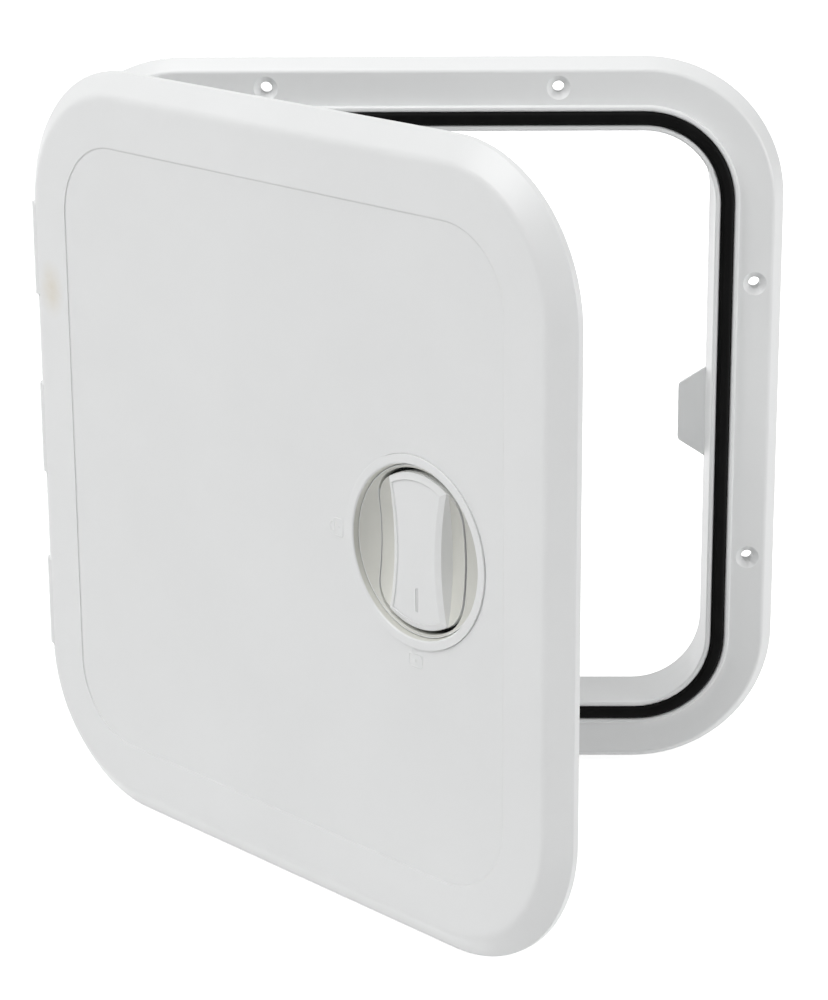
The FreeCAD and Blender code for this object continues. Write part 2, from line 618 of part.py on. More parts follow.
def make_lid():
    """Shell with a sloped rim, recessed panel, hinge notches and lugs, ribs and latch seat."""
    body = new_body("lid")
    outline = new_sketch(body, "lid_outline", "XZ_Plane", "-" + RIM_Y)
    lid_square(outline, "0", "lid_corner")
    pad(body, outline, LID_DEPTH)
    face = -value(FACE)
    names = edges_where(body, lambda spot, edge: near(spot.y, face))
    slope_edges(body, names, "lid_slope_inset", "lid_slope_depth", True)
    names = edges_where(body, lambda spot, edge: near(spot.y, face))
    fillet(body, names, "lid_face_round")
    rim = value(RIM_Y) - value("lid_band")
    names = edges_where(body, lambda spot, edge: near(spot.y, rim))
    fillet(body, names, "lid_edge_round")

    mouth = new_sketch(body, "cavity_mouth", "XZ_Plane", "-" + RIM_Y)
    lid_square(mouth, "lid_wall", "(lid_corner - lid_wall)")
    roof = new_sketch(body, "cavity_roof", "XZ_Plane", "(%s - lid_wall)" % FACE)
    lid_square(roof, "(lid_slope_inset + lid_wall / 3)", "(lid_corner - lid_slope_inset - lid_wall / 3)")
    before = body.Shape.Volume
    loft(body, mouth, [roof], cutting=True)
    if not body.Shape.Volume < before:
        raise RuntimeError("the lid's cavity cuts nothing")

    rib_base = "(%s - lid_wall / 2)" % FACE
    seal = new_sketch(body, "seal_rib", "XZ_Plane", rib_base)
    middle = "(opening_size / 2 + lip_inner_wall + groove_width / 2"
    corner = "(opening_corner + lip_inner_wall + groove_width / 2"
    opening_square(seal, middle + " + seal_rib / 2)", corner + " + seal_rib / 2)")
    opening_square(seal, middle + " - seal_rib / 2)", corner + " - seal_rib / 2)")
    seal_top = "(%s - hinge_height + gasket_proud + seal_play)" % LIP_TOP
    pad(body, seal, "%s - %s" % (rib_base, seal_top), reverse=True)
    guide = new_sketch(body, "guide_wall", "XZ_Plane", rib_base)
    opening_square(guide, "(opening_size / 2 - guide_play)", "(opening_corner - guide_play)")
    opening_square(guide, "(opening_size / 2 - guide_play - guide_wall)",
                   "(opening_corner - guide_play - guide_wall)")
    pad(body, guide, "%s - %s + hinge_height + guide_depth" % (rib_base, LIP_TOP), reverse=True)

    half = "(opening_size / 2 - guide_play - guide_wall / 2)"
    for name, axis, flat in (("lid_rib_across", "V_Axis", True), ("lid_rib_upright", "H_Axis", False)):
        rib = new_sketch(body, name, "XZ_Plane", rib_base)
        ends = ["(%s - %s)" % (CENTRE, half), "(%s + %s)" % (CENTRE, half)]
        if flat:
            low, high = "(-opening_size / 3 - lid_rib / 2)", "(-opening_size / 3 + lid_rib / 2)"
            corners = [(ends[0], low), (ends[1], low), (ends[1], high), (ends[0], high)]
        else:
            low = "(%s - opening_size / 3 - lid_rib / 2)" % CENTRE
            high = "(%s - opening_size / 3 + lid_rib / 2)" % CENTRE
            corners = [(low, "-" + half), (high, "-" + half), (high, half), (low, half)]
        polygon(rib, corners)
        feature = pad(body, rib, "(lid_wall / 2) + lid_rib_depth", reverse=True)
        row(body, feature, rib, axis, "opening_size * 2 / 3", 5)

    clear = new_sketch(body, "nut_clearance", "XZ_Plane", "-(%s)" % "guide_depth * 3")
    circle(clear, LATCH, "0", "(%s + cup_play + seat_ring)" % CUP_OUT)
    cut(body, clear, "guide_depth * 3 + %s - lid_wall" % FACE, reverse=True)
    seat = new_sketch(body, "latch_seat", "XZ_Plane", rib_base)
    circle(seat, LATCH, "0", "(%s + cup_play + seat_ring)" % CUP_OUT)
    pad(body, seat, "(lid_wall / 2) + seat_depth", reverse=True)

    notch_end = "(-knuckle_pitch - knuckle_length / 2 - notch_play)"
    lug = new_sketch(body, "hinge_lug", "XY_Plane", "(%s - lug_length)" % notch_end)
    edge_x = "(lug_skin - lid_overlap)"
    top_x = "(lid_slope_inset - lid_overlap)"
    top_y = "(lid_wall / 2 - %s)" % FACE
    polygon(lug, [(edge_x, RIM_Y), ("lug_reach", RIM_Y), ("lug_reach", top_y), (top_x, top_y),
                  (edge_x, "(%s - lid_band)" % RIM_Y)])
    feature = pad(body, lug, "knuckle_length + 2 * notch_play + 2 * lug_length")
    row(body, feature, lug, "N_Axis", "2 * knuckle_pitch", 3)
    notch = new_sketch(body, "hinge_notch", "XY_Plane", notch_end)
    out = "(-2 * lid_overlap)"
    polygon(notch, [(out, "(-2 * %s)" % FACE), ("notch_depth", "(-2 * %s)" % FACE),
                    ("notch_depth", "(2 * %s)" % FACE), (out, "(2 * %s)" % FACE)])
    feature = cut(body, notch, "knuckle_length + 2 * notch_play", reverse=True)
    row(body, feature, notch, "N_Axis", "2 * knuckle_pitch", 3)
    bore = new_sketch(body, "lid_pin_bore", "XY_Plane", "(-knuckle_pitch * 3 / 2 - lug_length / 2)")
    circle(bore, "0", "0", "(pin_diameter / 2 + pin_play)")
    cut(body, bore, "knuckle_pitch * 3 + lug_length", reverse=True)

    panel = new_sketch(body, "panel", "XZ_Plane", FACE)
    lid_square(panel, "panel_inset", "panel_corner")
    cut(body, panel, "panel_depth")
    shelf = new_sketch(body, "bezel_shelf", "XZ_Plane", FACE)
    circle(shelf, LATCH, "0", "(bezel_radius + cup_play)")
    cut(body, shelf, "bezel_thick - bezel_proud")
    hole = new_sketch(body, "cup_hole", "XZ_Plane", FACE)
    circle(hole, LATCH, "0", "(%s + cup_play)" % CUP_OUT)
    cut(body, hole, "lid_wall + seat_depth")
    hang_on_lid(body)
    return body


def make_latch_housing():
    """Finger cup with its bezel flange and the hub that guides the shaft."""
    body = new_body("latch_housing")
    top = "(-bezel_proud - %s)" % FACE
    under = "(bezel_thick - bezel_proud - %s)" % FACE
    floor_under = "(%s + cup_floor)" % CUP_FLOOR
    bore = "(shaft_radius + shaft_play)"
    turned(body, "cup_section", [
        ("cup_radius", top), ("bezel_radius", top), ("bezel_radius", under), (CUP_OUT, under),
        (CUP_OUT, floor_under), ("hub_radius", floor_under), ("hub_radius", "hub_end"), (bore, "hub_end"),
        (bore, CUP_FLOOR), (CUP_INSIDE, CUP_FLOOR), (CUP_INSIDE, "-" + DIAL_TOP)])
    fillet(body, ring_edges(body, CUP_FLOOR, CUP_INSIDE), "cup_round")
    fillet(body, ring_edges(body, top, "cup_radius"), "bezel_proud * 2")
    fillet(body, ring_edges(body, top, "bezel_radius"), "bezel_proud / 2")
    fillet(body, ring_edges(body, floor_under, CUP_OUT), "cup_edge")
    hang_on_lid(body, LATCH)
    return body


def make_ring_nut():
    """Ring that clamps the cup from behind, with six grip notches."""
    body = new_body("housing_ring_nut")
    inner, outer = "(%s + cup_play)" % CUP_OUT, "(%s + nut_wall)" % CUP_OUT
    turned(body, "nut_section", [(inner, SEAT), (outer, SEAT), (outer, "(%s + nut_height)" % SEAT),
                                 (inner, "(%s + nut_height)" % SEAT)])
    notch = new_sketch(body, "nut_notch", "XZ_Plane", "-(%s + nut_height)" % SEAT)
    side = "(nut_wall * 0.8)"
    root, past = "(%s + nut_wall / 2)" % CUP_OUT, "(%s + nut_wall * 2)" % CUP_OUT
    polygon(notch, [(root, "-" + side), (past, "-" + side), (past, side), (root, side)])
    feature = cut(body, notch, "nut_height * 2 / 3", reverse=True)
    ring = body.newObject("PartDesign::PolarPattern", "nut_notches")
    ring.Originals = [feature]
    ring.Axis = (notch, ["N_Axis"])
    ring.Angle = 360
    ring.Occurrences = 6
    body.Tip = ring
    doc.recompute()
    hang_on_lid(body, LATCH)
    return body


def ring_solid(name, radius, section, place):
    """A seal ring of round section about the latch axis."""
    ring = doc.addObject("Part::Torus", name)
    ring.Label = name
    bind(ring, "Radius1", radius)
    bind(ring, "Radius2", section)
    turn = "open_angle"
    across = "(%s) * cos(%s) + (%s) * sin(%s)" % (LATCH, turn, place, turn)
    inward = "(%s) * cos(%s) - (%s) * sin(%s)" % (place, turn, LATCH, turn)
    bind(ring, "Placement.Base.x", "%s + %s" % (AXIS_X, across))
    bind(ring, "Placement.Base.y", "%s - hinge_height" % inward)
    tilt = FreeCAD.Rotation(Vector(0, 0, 1), -value(turn)) * FreeCAD.Rotation(Vector(1, 0, 0), 90)
    ring.Placement.Rotation = tilt
    doc.recompute()
    return ring


def flat_sided(item, radius, half, corner):
    """A circle about the origin with a flat on each side and round corners between."""
    r, w, c = [value(text) for text in (radius, half, corner)]
    x = w - c
    z = math.sqrt((r - c) ** 2 - x * x)
    rise = math.atan2(z, x)
    turn = math.pi
    spans = [(0, 0, r, rise, turn - rise), (-x, z, c, turn - rise, turn), (-x, -z, c, turn, turn + rise),
             (0, 0, r, turn + rise, 2 * turn - rise), (x, -z, c, 2 * turn - rise, 2 * turn),
             (x, z, c, 0, rise)]
    arcs = [arc(item, *span) for span in spans]
    top, upper_left, lower_left, low, lower_right, upper_right = arcs
    left = item.addGeometry(Part.LineSegment(Vector(-w, z, 0), Vector(-w, -z, 0)))
    right = item.addGeometry(Part.LineSegment(Vector(w, -z, 0), Vector(w, z, 0)))
    loop = [top, upper_left, left, lower_left, low, lower_right, right, upper_right]
    for number, first in enumerate(loop):
        item.addConstraint(Sketcher.Constraint("Tangent", first, 2, loop[(number + 1) % len(loop)], 1))
    item.addConstraint(Sketcher.Constraint("Coincident", top, 3, -1, 1))
    item.addConstraint(Sketcher.Constraint("Coincident", low, 3, -1, 1))
    item.addConstraint(Sketcher.Constraint("Equal", top, low))
    for other in (lower_left, lower_right, upper_right):
        item.addConstraint(Sketcher.Constraint("Equal", upper_left, other))
    item.addConstraint(Sketcher.Constraint("Vertical", left))
    item.addConstraint(Sketcher.Constraint("Vertical", right))
    dimension(item, "Radius", radius, top)
    dimension(item, "Radius", corner, upper_left)
    set_place(item, "X", left, 1, "-(%s)" % half)
    set_place(item, "X", right, 1, half)


def dish(body, name, drop):
    """Hollow the front of a turned piece with a ball on the latch axis, a drop below the plate's."""
    item = new_sketch(body, name, "XY_Plane")
    floor = "(%s - dish_depth - %s)" % (FACE, drop)
    r, front = value("dish_radius"), -value(floor)
    ball = arc(item, 0, front - r, r, math.pi / 3, math.pi / 2)
    axis = item.addGeometry(Part.LineSegment(Vector(0, front, 0), Vector(0, front - r, 0)))
    side = item.addGeometry(Part.LineSegment(Vector(0, front - r, 0), item.getPoint(ball, 1)))
    item.addConstraint(Sketcher.Constraint("Coincident", axis, 1, ball, 2))
    item.addConstraint(Sketcher.Constraint("Coincident", axis, 2, ball, 3))
    item.addConstraint(Sketcher.Constraint("Coincident", side, 1, axis, 2))
    item.addConstraint(Sketcher.Constraint("Coincident", side, 2, ball, 1))
    item.addConstraint(Sketcher.Constraint("Vertical", axis))
    item.addConstraint(Sketcher.Constraint("PointOnObject", axis, 1, -2))
    dimension(item, "Radius", "dish_radius", ball)
    set_place(item, "Y", axis, 1, "-" + floor)
    set_place(item, "X", side, 2, "(dish_radius / 2)")
    before = body.Shape.Volume
    cutter = body.newObject("PartDesign::Groove", name + "_groove")
    cutter.Profile = item
    cutter.ReferenceAxis = (item, ["V_Axis"])
    cutter.Angle = 360
    settle(cutter)
    if not body.Shape.Volume < before:
        raise RuntimeError(name + " cuts nothing")


def make_dial():
    """Dished dial with the opening that the grip plate sits in."""
    body = new_body("latch_dial")
    bore = "(shaft_radius + shaft_play)"
    turned(body, "dial_section", [
        (bore, "-" + DIAL_LOW), (DIAL_RADIUS, "-" + DIAL_LOW), (DIAL_RADIUS, "-" + DIAL_TOP),
        (bore, "-" + DIAL_TOP)])
    opening = new_sketch(body, "dial_opening", "XZ_Plane", DIAL_FLOOR)
    flat_sided(opening, PLATE_RADIUS + " + end_slot", "(plate_half + dial_slot)",
               "(plate_round + dial_slot)")
    cut(body, opening, "cup_depth", reverse=True)
    dish(body, "dial_dish", "plate_proud")
    hang_on_lid(body, LATCH)
    return body


def make_grip_seal():
    """Rubber sheet between the dial and the grip plate, with a lip round the plate."""
    body = new_body("grip_seal")
    sheet_outline = new_sketch(body, "seal_sheet", "XZ_Plane", DIAL_FLOOR)
    grow = "(dial_slot - sheet_play)"
    flat_sided(sheet_outline, "(%s + end_slot - sheet_play)" % PLATE_RADIUS, "(plate_half + %s)" % grow,
               "(plate_round + %s)" % grow)
    pad(body, sheet_outline, "sheet_thick")
    lip = new_sketch(body, "seal_lip", "XZ_Plane", SHEET_TOP)
    for gap in (grow, "sheet_play"):
        flat_sided(lip, "(%s + %s)" % (PLATE_RADIUS, gap), "(plate_half + %s)" % gap,
                   "(plate_round + %s)" % gap)
    pad(body, lip, "sheet_lip")
    hole = new_sketch(body, "seal_hole", "XZ_Plane", SHEET_TOP)
    circle(hole, "0", "0", "(shaft_radius + shaft_play)")
    cut(body, hole, "sheet_thick")
    dish(body, "lip_dish", "3 * plate_proud")
    hang_on_lid(body, LATCH)
    return body


def make_handle():
    """Grip plate with finger wells and a bow-tie grip, round shaft and drive square."""
    body = new_body("latch_handle")
    plate = new_sketch(body, "grip_plate", "XZ_Plane", SHEET_TOP)
    flat_sided(plate, PLATE_RADIUS, "plate_half", "plate_round")
    pad(body, plate, "%s - %s" % (DIAL_TOP, SHEET_TOP))
    dish(body, "plate_dish", "0")
    top = "(%s - grip_sunk)" % FACE
    rise = "(%s - grip_sunk - grip_border_depth)" % FACE
    foot = "(%s + grip_root)" % SHEET_TOP
    crown = new_sketch(body, "grip_crown", "XZ_Plane", top)
    bow_tie(crown, "grip_waist", "grip_width", "grip_radius")
    border = new_sketch(body, "grip_border", "XZ_Plane", rise)
    bow_tie(border, "(grip_waist + grip_border)", "(grip_width + grip_border)",
            "(grip_radius + grip_border)")
    base = new_sketch(body, "grip_base", "XZ_Plane", foot)
    bow_tie(base, "(grip_waist + grip_border + grip_flare)", "(grip_width + grip_border + grip_flare)",
            "(grip_radius + grip_border)")
    loft(body, crown, [border, base])
    pointer = new_sketch(body, "pointer", "XZ_Plane", top)
    low, high = "(pointer_inset - grip_radius)", "(pointer_inset + pointer_length - grip_radius)"
    edge = "(pointer_width / 2)"
    polygon(pointer, [("-" + edge, low), (edge, low), (edge, high), ("-" + edge, high)])
    cut(body, pointer, "pointer_depth")
    shaft = new_sketch(body, "shaft", "XZ_Plane", foot)
    circle(shaft, "0", "0", "shaft_radius")
    pad(body, shaft, "%s + hub_end + spring_thick" % foot, reverse=True)
    square = new_sketch(body, "drive_square", "XZ_Plane", "-(hub_end)")
    side = "(square_size / 2)"
    polygon(square, [("-" + side, "-" + side), (side, "-" + side), (side, side), ("-" + side, side)])
    pad(body, square, "%s - shaft_short - hub_end" % CAM_BACK, reverse=True)
    groove = new_sketch(body, "seal_groove", "XY_Plane")
    deep = "(shaft_radius + shaft_play - ring_section - 2 * ring_play)"
    low, high = "(ring_place - ring_section / 2 - ring_play)", "(ring_place + ring_section / 2 + ring_play)"
    wide = "(shaft_radius * 2)"
    polygon(groove, [(deep, low), (wide, low), (wide, high), (deep, high)])
    before = body.Shape.Volume
    cutter = body.newObject("PartDesign::Groove", "seal_groove_cut")
    cutter.Profile = groove
    cutter.ReferenceAxis = (groove, ["V_Axis"])
    cutter.Angle = 360
    settle(cutter)
    if not body.Shape.Volume < before:
        raise RuntimeError("the seal groove cuts nothing")
    thread = new_sketch(body, "screw_bore", "XZ_Plane", "-(%s)" % CAM_BACK)
    circle(thread, "0", "0", "(screw_diameter / 2)")
    cut(body, thread, "screw_length + shaft_short", reverse=True)
    hang_on_lid(body, LATCH)
    return body


def make_cam():
    """Hub with a square hole and the tongue that turns behind the striker tab."""
    body = new_body("latch_cam")
    hub = new_sketch(body, "cam_hub", "XZ_Plane", "-(hub_end + spring_thick)")
    circle(hub, "0", "0", "hub_radius")
    pad(body, hub, "%s - hub_end - spring_thick" % CAM_BACK, reverse=True)
    plate = new_sketch(body, "cam_tongue", "XZ_Plane", "-" + CAM_FRONT)
    polygon(plate, [("(-cam_root / 2)", "0"), ("(cam_root / 2)", "0"), ("(cam_tip / 2)", "cam_reach"),
                    ("(-cam_tip / 2)", "cam_reach")])
    pad(body, plate, "cam_thick", reverse=True)
    tip = value("cam_reach")
    names = edges_where(body, lambda spot, edge: near(spot.z, tip)
                        and near(edge.Length, value("cam_thick")))
    fillet(body, names, "cam_tip / 3")
    hole = new_sketch(body, "cam_square", "XZ_Plane", "-(hub_end)")
    side = "(square_size / 2 + square_fit)"
    polygon(hole, [("-" + side, "-" + side), (side, "-" + side), (side, side), ("-" + side, side)])
    cut(body, hole, CAM_BACK + " - hub_end")
    hang_on_lid(body, LATCH)
    return body


def make_spring_washer():
    body = new_body("spring_washer")
    inner, outer = "(shaft_radius + shaft_play)", "(hub_radius - shaft_play)"
    back = "(hub_end + spring_thick)"
    turned(body, "spring_section", [(inner, "hub_end"), (outer, "hub_end"), (outer, back), (inner, back)])
    hang_on_lid(body, LATCH)
    return body


def make_cam_washer():
    body = new_body("cam_washer")
    inner = "(screw_diameter / 2 + shaft_play)"
    turned(body, "washer_section", [(inner, CAM_BACK), ("washer_radius", CAM_BACK),
                                    ("washer_radius", "(%s + washer_thick)" % CAM_BACK),
                                    (inner, "(%s + washer_thick)" % CAM_BACK)])
    hang_on_lid(body, LATCH)
    return body


def make_cam_screw():
    """Pan head screw with a cross recess."""
    body = new_body("cam_screw")
    seat = "(%s + washer_thick)" % CAM_BACK
    end = "(%s - screw_length)" % seat
    turned(body, "screw_section", [
        ("0", end), ("(screw_diameter / 2 - screw_diameter / 8)", end),
        ("(screw_diameter / 2)", "(%s + screw_diameter / 8)" % end), ("(screw_diameter / 2)", seat),
        ("(screw_head / 2)", seat), ("(screw_head / 2)", "(%s + screw_head_height / 3)" % seat),
        ("(screw_head / 3)", "(%s + screw_head_height)" % seat), ("0", "(%s + screw_head_height)" % seat)])
    cross = new_sketch(body, "cross_recess", "XZ_Plane", "-(%s + screw_head_height)" % seat)
    arm, half = "(screw_head / 4)", "(screw_head / 16)"
    polygon(cross, [("-" + half, "-" + arm), (half, "-" + arm), (half, "-" + half),
                    (arm, "-" + half), (arm, half), (half, half),
                    (half, arm), ("-" + half, arm), ("-" + half, half),
                    ("-" + arm, half), ("-" + arm, "-" + half), ("-" + half, "-" + half)])
    cut(body, cross, "screw_head_height / 2", reverse=True)
    hang_on_lid(body, LATCH)
    return body


pieces = [make_frame(), make_gasket()]
for pin_name, pin_place in (("hinge_pin_upper", "1"), ("hinge_pin_middle", "0"), ("hinge_pin_lower", "-1")):
    pieces.append(make_pin(pin_name, pin_place))
pieces.append(make_lid())
pieces.append(make_latch_housing())
pieces.append(make_ring_nut())
pieces.append(make_dial())
pieces.append(make_grip_seal())
pieces.append(make_handle())
RING_CENTRE = "(shaft_radius + shaft_play - ring_section / 2 - ring_play)"
pieces.append(ring_solid("shaft_o_ring", RING_CENTRE, "(ring_section / 2)", "ring_place"))
pieces.append(make_spring_washer())
pieces.append(make_cam())
pieces.append(make_cam_washer())
pieces.append(make_cam_screw())

doc.recompute()
for item in doc.Objects:
    if "Invalid" in item.State or "Error" in item.State:
        raise RuntimeError("%s failed: %s" % (item.Name, item.State))
os.makedirs("parts", exist_ok=True)
for piece in pieces:
    shape = piece.Shape
    if shape.isNull() or not shape.isValid():
        raise RuntimeError(piece.Label + " has no sound shape")
    shape.exportStep("parts/%s.step" % piece.Label)
    box = shape.BoundBox
    print("%-18s solids %d  volume %9.1f  x %.1f %.1f  y %.1f %.1f  z %.1f %.1f" % (
        piece.Label, len(shape.Solids), shape.Volume,
        box.XMin, box.XMax, box.YMin, box.YMax, box.ZMin, box.ZMax))
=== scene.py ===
import json
import math

import bmesh
import bpy
from mathutils import Matrix, Vector

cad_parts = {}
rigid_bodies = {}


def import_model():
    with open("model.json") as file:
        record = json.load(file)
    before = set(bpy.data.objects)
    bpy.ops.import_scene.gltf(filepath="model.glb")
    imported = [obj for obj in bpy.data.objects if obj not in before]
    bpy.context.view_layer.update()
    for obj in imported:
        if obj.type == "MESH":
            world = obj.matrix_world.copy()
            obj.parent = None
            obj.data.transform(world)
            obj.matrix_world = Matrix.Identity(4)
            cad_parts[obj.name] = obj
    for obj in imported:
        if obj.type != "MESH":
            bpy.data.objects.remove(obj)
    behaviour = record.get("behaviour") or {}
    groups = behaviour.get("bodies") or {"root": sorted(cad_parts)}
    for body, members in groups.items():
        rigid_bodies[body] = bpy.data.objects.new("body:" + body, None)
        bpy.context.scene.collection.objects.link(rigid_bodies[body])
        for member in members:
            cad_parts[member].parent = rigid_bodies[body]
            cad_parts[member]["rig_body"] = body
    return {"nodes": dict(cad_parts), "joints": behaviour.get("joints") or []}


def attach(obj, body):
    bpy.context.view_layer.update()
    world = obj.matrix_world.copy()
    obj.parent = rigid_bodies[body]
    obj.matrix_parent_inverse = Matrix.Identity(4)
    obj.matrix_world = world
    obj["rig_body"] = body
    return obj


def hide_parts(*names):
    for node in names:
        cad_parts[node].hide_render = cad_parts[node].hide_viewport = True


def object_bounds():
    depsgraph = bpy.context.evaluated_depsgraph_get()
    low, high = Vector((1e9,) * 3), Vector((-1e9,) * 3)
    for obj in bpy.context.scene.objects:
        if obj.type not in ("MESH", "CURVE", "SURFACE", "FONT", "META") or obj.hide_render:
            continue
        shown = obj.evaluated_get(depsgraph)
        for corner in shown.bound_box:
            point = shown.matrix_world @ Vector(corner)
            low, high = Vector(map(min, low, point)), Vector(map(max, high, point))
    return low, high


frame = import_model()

bl_info = {
    "name": "Access hatch finish",
    "version": (1, 0, 0),
    "blender": (4, 5, 0),
    "location": "View3D > Sidebar > Hatch",
    "description": "Finish, moulded marks and studio stage for an upright access hatch",
    "category": "Object",
}

MM = 0.001
JOINTS = {joint["name"]: joint for joint in frame["joints"]}
HINGE = Vector(JOINTS["lid_hinge"]["pos_m"])
OPEN_ANGLE = math.radians(-JOINTS["lid_hinge"]["range_deg"][0])
LATCH_REACH = (Vector(JOINTS["handle_turn"]["pos_m"]) - HINGE).length
CAD_BOX = [list(corner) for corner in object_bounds()]


def lid_axes():
    """Matrix from the lid's own axes (away from the hinge, inwards, up) to the row frame at rest."""
    turn = Matrix.Rotation(-OPEN_ANGLE, 4, "Z")
    return Matrix.Translation(HINGE) @ turn


LID = lid_axes()
LID_INVERSE = LID.inverted()


def on_lid(away, outward, up):
    """A point given in the lid's own axes, in the row frame."""
    return LID @ Vector((away, -outward, up))


def lid_face_height():
    """How far the lid's outer face stands in front of the hinge axis."""
    return max(-(LID_INVERSE @ corner.co).y for corner in frame["nodes"]["lid"].data.vertices)


FACE = lid_face_height()
LATCH_CENTRE = on_lid(LATCH_REACH, 0.0, 0.0)


class HatchSizes(bpy.types.PropertyGroup):
    edge_round: bpy.props.FloatProperty(
        name="Edge rounding", description="Rounding of the moulded edges",
        default=0.3 * MM, unit="LENGTH")
    fine_round: bpy.props.FloatProperty(
        name="Fine rounding", description="Rounding of the latch's small edges",
        default=0.2 * MM, unit="LENGTH")
    panel_depth: bpy.props.FloatProperty(
        name="Panel depth", description="Depth of the lid's recessed panel",
        default=0.4 * MM, unit="LENGTH")
    panel_corner: bpy.props.FloatProperty(
        name="Panel corner", description="Corner radius of the lid's panel",
        default=38 * MM, unit="LENGTH")
    panel_foot: bpy.props.FloatProperty(
        name="Panel foot", description="Width of the fillet at the foot of the panel's step",
        default=0.8 * MM, unit="LENGTH")
    panel_grain: bpy.props.FloatProperty(
        name="Panel grain", description="Size of the grain on the lid's panel",
        default=0.9 * MM, unit="LENGTH")
    satin_grain: bpy.props.FloatProperty(
        name="Satin grain", description="Size of the texture of the plain mouldings",
        default=0.5 * MM, unit="LENGTH")
    flat_step: bpy.props.FloatProperty(
        name="Flat step", description="Width of the step round the grip's flat",
        default=0.3 * MM, unit="LENGTH")
    flat_sink: bpy.props.FloatProperty(
        name="Flat sink", description="Depth of the grip's flat inside its border",
        default=0.6 * MM, unit="LENGTH")
    dish_radius: bpy.props.FloatProperty(
        name="Dish radius", description="Radius of the dish round the grip",
        default=120 * MM, unit="LENGTH")
    mark_width: bpy.props.FloatProperty(
        name="Mark width", description="Width of a padlock mark's body",
        default=8.4 * MM, unit="LENGTH")
    mark_line: bpy.props.FloatProperty(
        name="Mark line", description="Width of a padlock mark's raised line",
        default=0.9 * MM, unit="LENGTH")
    mark_rise: bpy.props.FloatProperty(
        name="Mark rise", description="Height of a padlock mark above the panel",
        default=0.25 * MM, unit="LENGTH")
    mark_distance: bpy.props.FloatProperty(
        name="Mark distance", description="Padlock mark from the latch axis",
        default=51.5 * MM, unit="LENGTH")


class HatchColours(bpy.types.PropertyGroup):
    asa: bpy.props.StringProperty(name="ASA", description="White moulded plastic", default="E9EAEA")
    # The finger wells' tone, darker and more olive than the white: painted shade in the latch's recess
    asa_wells_shade_tone: bpy.props.StringProperty(name="Dish", description="Finger wells", default="E0E0D9")
    # The rubber's near black also goes on the grip seal, a sheet that is painted shade in the gap round
    # the grip
    rubber: bpy.props.StringProperty(name="Rubber", description="Gasket and seals", default="060606")
    steel: bpy.props.StringProperty(name="Steel", description="Stainless steel", default="B9BABC")
    smudge: bpy.props.StringProperty(name="Smudge", description="Faint dirt on the lid", default="DCD5C6")
    speck: bpy.props.StringProperty(name="Speck", description="Small specks on the lid", default="8F8A7E")


# How the skins are made: depth of their grain, roughness, and the size of what varies in them
SATIN_DEPTH = 0.02 * MM
SATIN_ROUGHNESS = 0.36
PANEL_DEPTH = 0.07 * MM
PANEL_ROUGHNESS = 0.45
DISH_ROUGHNESS = 0.4
CLOUD_SIZE = 70 * MM
CLOUD_TONE = 0.975
BLOOM_SIZE = 12 * MM
RUBBER_GRAIN = 0.4 * MM
STEEL_PATCH = 3 * MM
TOOL_LINE = 1.2 * MM
FINE_BUMP = 0.01 * MM
# The light leans on the finger wells as in a ball of this share of the dish's radius
WELL_LEAN = 0.42
# Points and faces of a mesh that are this near to a plane lie on it
POINT_ON_PLANE = 0.02 * MM
FACE_ON_PLANE = 0.05 * MM
# How straight the faces of these forms look out of the lid, as the outward part of their normal
PANEL_OUTWARD = 0.99
FLAT_OUTWARD = 0.999
DISH_OUTWARD = 0.9
WALL_OUTWARD = 0.5


def linear(text):
    """An sRGB hex colour as a linear RGBA value."""
    channels = [int(text[place:place + 2], 16) / 255 for place in (0, 2, 4)]
    curve = [c / 12.92 if c <= 0.04045 else ((c + 0.055) / 1.055) ** 2.4 for c in channels]
    return (*curve, 1.0)


def add(tree, kind, settings=None, links=None):
    """A new node with its settings and its incoming links."""
    node = tree.nodes.new(kind)
    for name, value in (settings or {}).items():
        if isinstance(name, int) or name in node.inputs:
            node.inputs[name].default_value = value
        else:
            setattr(node, name, value)
    for name, source in (links or {}).items():
        tree.links.new(source, node.inputs[name])
    return node


def new_material(name):
    """An empty node material with its output and the object's coordinates."""
    material = bpy.data.materials.new(name)
    material.use_nodes = True
    tree = material.node_tree
    tree.nodes.clear()
    coordinates = add(tree, "ShaderNodeTexCoord").outputs["Object"]
    output = add(tree, "ShaderNodeOutputMaterial")
    return material, tree, coordinates, output


def spot(tree, coordinates, place, radii):
    """A soft round patch of 1 at a place, fading to 0 at its radii."""
    centred = add(tree, "ShaderNodeMapping", {"vector_type": "TEXTURE", "Location": place, "Scale": radii},
                  {"Vector": coordinates})
    return add(tree, "ShaderNodeTexGradient", {"gradient_type": "SPHERICAL"},
               {"Vector": centred.outputs["Vector"]}).outputs["Fac"]


def on_lid_face(tree, coordinates, place):
    """The object's coordinates in the lid's own axes, flat on its face, from a place on the lid."""
    turned = add(tree, "ShaderNodeMapping",
                 {"vector_type": "TEXTURE", "Location": place, "Rotation": LID.to_euler()},
                 {"Vector": coordinates})
    return add(tree, "ShaderNodeVectorMath", {"operation": "MULTIPLY", 1: (1.0, 0.0, 1.0)},
               {0: turned.outputs["Vector"]}).outputs["Vector"]


def bowl_height(tree, coordinates, radius):
    """Height of a bowl about the latch axis, that leans the light on the finger wells."""
    across = on_lid_face(tree, coordinates, LATCH_CENTRE)
    square = add(tree, "ShaderNodeVectorMath", {"operation": "DOT_PRODUCT"}, {0: across, 1: across})
    return add(tree, "ShaderNodeMath", {"operation": "MULTIPLY", 1: 0.5 / radius},
               {0: square.outputs["Value"]}).outputs["Value"]


